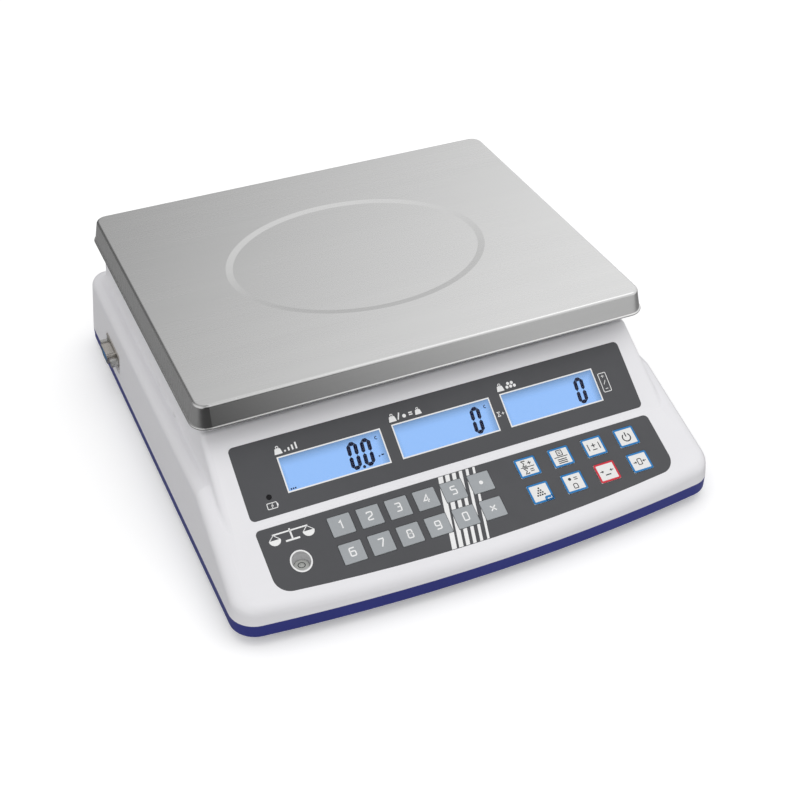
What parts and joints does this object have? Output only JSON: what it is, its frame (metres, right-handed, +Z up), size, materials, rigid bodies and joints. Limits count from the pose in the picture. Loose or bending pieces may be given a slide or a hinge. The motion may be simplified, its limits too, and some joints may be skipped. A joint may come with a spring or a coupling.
{
  "type": "counting scale",
  "caption": "Bench counting scale: flat rectangular pan over a wedge-shaped housing with sloped windows, a keypad face, a spirit level, a side connector and levelling feet.",
  "frame": {"origin": "floor level under the middle of the scale's overall box, serial connector included", "axes": "+X to the user's right, +Y from the keypad to the rear, +Z up"},
  "size_m": [0.3126, 0.3372, 0.106],
  "materials": {
    "white_abs": "fine satin moulded",
    "blue_abs": "satin moulded",
    "dark_film": "satin printed film",
    "clear_film": "clear",
    "lcd_glass": "backlit blue",
    "backlight": "diffusing",
    "circuit_board": "solder mask",
    "spring_steel": "bright",
    "grey_key": "satin",
    "white_key": "satin",
    "lamp": "clear dark",
    "level_body": "satin",
    "level_fluid": "clear liquid",
    "nickel_shell": "nickel plated",
    "blue_insulator": "moulded",
    "black_plastic": "moulded",
    "cast_aluminium": "as cast",
    "beam_aluminium": "machined",
    "zinc_steel": "zinc plated",
    "black_rubber": "matt",
    "pan_steel": "brushed lengthways",
    "brass_insert": "turned"
  },
  "bodies": {
    "housing": {"upper_housing": "white_abs", "lower_housing": "blue_abs", "display_overlay": "dark_film", "keypad_overlay": "dark_film", "window_lenses": "clear_film", "lcd_weight": "lcd_glass", "lcd_unit_weight": "lcd_glass", "lcd_count": "lcd_glass", "backlights": "backlight", "display_board": "circuit_board", "keypad_board": "circuit_board", "key_domes": "spring_steel", "charge_led": "lamp", "level_cup": "level_body", "level_vial": "level_fluid", "serial_shell": "nickel_shell", "serial_insulator": "blue_insulator", "serial_jackscrews": "zinc_steel", "adapter_inlet": "black_plastic", "main_board": "circuit_board", "base_frame": "cast_aluminium", "load_cell": "beam_aluminium", "frame_bolts": "zinc_steel", "foot_inserts": "brass_insert", "housing_screws": "zinc_steel", "battery_pack": "black_plastic", "battery_cover": "blue_abs"},
    "platform": {"platform_plate": "cast_aluminium", "platform_bolts": "zinc_steel", "spider": "cast_aluminium", "spider_pads": "black_rubber"},
    "pan": {"pan": "pan_steel"},
    "key_1": {"key_1": "grey_key"},
    "key_2": {"key_2": "grey_key"},
    "key_3": {"key_3": "grey_key"},
    "key_4": {"key_4": "grey_key"},
    "key_5": {"key_5": "grey_key"},
    "key_point": {"key_point": "grey_key"},
    "key_6": {"key_6": "grey_key"},
    "key_7": {"key_7": "grey_key"},
    "key_8": {"key_8": "grey_key"},
    "key_9": {"key_9": "grey_key"},
    "key_0": {"key_0": "grey_key"},
    "key_clear": {"key_clear": "grey_key"},
    "key_memory": {"key_memory": "white_key"},
    "key_print": {"key_print": "white_key"},
    "key_tolerance": {"key_tolerance": "white_key"},
    "key_power": {"key_power": "white_key"},
    "key_count": {"key_count": "white_key"},
    "key_reference": {"key_reference": "white_key"},
    "key_tare": {"key_tare": "white_key"},
    "key_zero": {"key_zero": "white_key"},
    "foot_1_shoe": {"foot_1_shoe": "black_rubber"},
    "foot_1_stud": {"foot_1_stud": "zinc_steel"},
    "foot_2_shoe": {"foot_2_shoe": "black_rubber"},
    "foot_2_stud": {"foot_2_stud": "zinc_steel"},
    "foot_3_shoe": {"foot_3_shoe": "black_rubber"},
    "foot_3_stud": {"foot_3_stud": "zinc_steel"},
    "foot_4_shoe": {"foot_4_shoe": "black_rubber"},
    "foot_4_stud": {"foot_4_stud": "zinc_steel"}
  },
  "joints": [
    {"name": "platform_dip", "type": "slide", "parent": "housing", "child": "platform", "axis": [0, 0, -1], "range_m": [0, 0.0005], "stiffness_N_per_m": 300000, "deforming": ["load_cell"]},
    {"name": "pan_lift", "type": "slide", "parent": "platform", "child": "pan", "axis": [0, 0, 1], "range_m": [0, 0.08]},
    {"name": "key_1_press", "type": "slide", "parent": "housing", "child": "key_1", "axis": [0, 0.3756, -0.9268], "range_m": [0, 0.0004], "stiffness_N_per_m": 5000},
    {"name": "key_2_press", "type": "slide", "parent": "housing", "child": "key_2", "axis": [0, 0.3756, -0.9268], "range_m": [0, 0.0004], "stiffness_N_per_m": 5000},
    {"name": "key_3_press", "type": "slide", "parent": "housing", "child": "key_3", "axis": [0, 0.3756, -0.9268], "range_m": [0, 0.0004], "stiffness_N_per_m": 5000},
    {"name": "key_4_press", "type": "slide", "parent": "housing", "child": "key_4", "axis": [0, 0.3756, -0.9268], "range_m": [0, 0.0004], "stiffness_N_per_m": 5000},
    {"name": "key_5_press", "type": "slide", "parent": "housing", "child": "key_5", "axis": [0, 0.3756, -0.9268], "range_m": [0, 0.0004], "stiffness_N_per_m": 5000},
    {"name": "key_point_press", "type": "slide", "parent": "housing", "child": "key_point", "axis": [0, 0.3756, -0.9268], "range_m": [0, 0.0004], "stiffness_N_per_m": 5000},
    {"name": "key_6_press", "type": "slide", "parent": "housing", "child": "key_6", "axis": [0, 0.3756, -0.9268], "range_m": [0, 0.0004], "stiffness_N_per_m": 5000},
    {"name": "key_7_press", "type": "slide", "parent": "housing", "child": "key_7", "axis": [0, 0.3756, -0.9268], "range_m": [0, 0.0004], "stiffness_N_per_m": 5000},
    {"name": "key_8_press", "type": "slide", "parent": "housing", "child": "key_8", "axis": [0, 0.3756, -0.9268], "range_m": [0, 0.0004], "stiffness_N_per_m": 5000},
    {"name": "key_9_press", "type": "slide", "parent": "housing", "child": "key_9", "axis": [0, 0.3756, -0.9268], "range_m": [0, 0.0004], "stiffness_N_per_m": 5000},
    {"name": "key_0_press", "type": "slide", "parent": "housing", "child": "key_0", "axis": [0, 0.3756, -0.9268], "range_m": [0, 0.0004], "stiffness_N_per_m": 5000},
    {"name": "key_clear_press", "type": "slide", "parent": "housing", "child": "key_clear", "axis": [0, 0.3756, -0.9268], "range_m": [0, 0.0004], "stiffness_N_per_m": 5000},
    {"name": "key_memory_press", "type": "slide", "parent": "housing", "child": "key_memory", "axis": [0, 0.3756, -0.9268], "range_m": [0, 0.0004], "stiffness_N_per_m": 5000},
    {"name": "key_print_press", "type": "slide", "parent": "housing", "child": "key_print", "axis": [0, 0.3756, -0.9268], "range_m": [0, 0.0004], "stiffness_N_per_m": 5000},
    {"name": "key_tolerance_press", "type": "slide", "parent": "housing", "child": "key_tolerance", "axis": [0, 0.3756, -0.9268], "range_m": [0, 0.0004], "stiffness_N_per_m": 5000},
    {"name": "key_power_press", "type": "slide", "parent": "housing", "child": "key_power", "axis": [0, 0.3756, -0.9268], "range_m": [0, 0.0004], "stiffness_N_per_m": 5000},
    {"name": "key_count_press", "type": "slide", "parent": "housing", "child": "key_count", "axis": [0, 0.3756, -0.9268], "range_m": [0, 0.0004], "stiffness_N_per_m": 5000},
    {"name": "key_reference_press", "type": "slide", "parent": "housing", "child": "key_reference", "axis": [0, 0.3756, -0.9268], "range_m": [0, 0.0004], "stiffness_N_per_m": 5000},
    {"name": "key_tare_press", "type": "slide", "parent": "housing", "child": "key_tare", "axis": [0, 0.3756, -0.9268], "range_m": [0, 0.0004], "stiffness_N_per_m": 5000},
    {"name": "key_zero_press", "type": "slide", "parent": "housing", "child": "key_zero", "axis": [0, 0.3756, -0.9268], "range_m": [0, 0.0004], "stiffness_N_per_m": 5000},
    {"name": "foot_1_height", "type": "slide", "parent": "housing", "child": "foot_1_shoe", "axis": [0, 0, -1], "range_m": [0, 0.00405]},
    {"name": "foot_1_turn", "type": "hinge", "parent": "foot_1_shoe", "child": "foot_1_stud", "pos_m": [-0.1238, -0.136, 0.004], "axis": [0, 0, -1], "range_deg": [0, 1152]},
    {"name": "foot_2_height", "type": "slide", "parent": "housing", "child": "foot_2_shoe", "axis": [0, 0, -1], "range_m": [0, 0.00405]},
    {"name": "foot_2_turn", "type": "hinge", "parent": "foot_2_shoe", "child": "foot_2_stud", "pos_m": [0.1282, -0.136, 0.004], "axis": [0, 0, -1], "range_deg": [0, 1152]},
    {"name": "foot_3_height", "type": "slide", "parent": "housing", "child": "foot_3_shoe", "axis": [0, 0, -1], "range_m": [0, 0.00405]},
    {"name": "foot_3_turn", "type": "hinge", "parent": "foot_3_shoe", "child": "foot_3_stud", "pos_m": [0.1282, 0.136, 0.004], "axis": [0, 0, -1], "range_deg": [0, 1152]},
    {"name": "foot_4_height", "type": "slide", "parent": "housing", "child": "foot_4_shoe", "axis": [0, 0, -1], "range_m": [0, 0.00405]},
    {"name": "foot_4_turn", "type": "hinge", "parent": "foot_4_shoe", "child": "foot_4_stud", "pos_m": [-0.1238, 0.136, 0.004], "axis": [0, 0, -1], "range_deg": [0, 1152]}
  ],
  "couplings": [
    {"joint": "foot_1_height", "follows": "foot_1_turn", "m_per_rad": 0.00019894},
    {"joint": "foot_2_height", "follows": "foot_2_turn", "m_per_rad": 0.00019894},
    {"joint": "foot_3_height", "follows": "foot_3_turn", "m_per_rad": 0.00019894},
    {"joint": "foot_4_height", "follows": "foot_4_turn", "m_per_rad": 0.00019894}
  ]
}
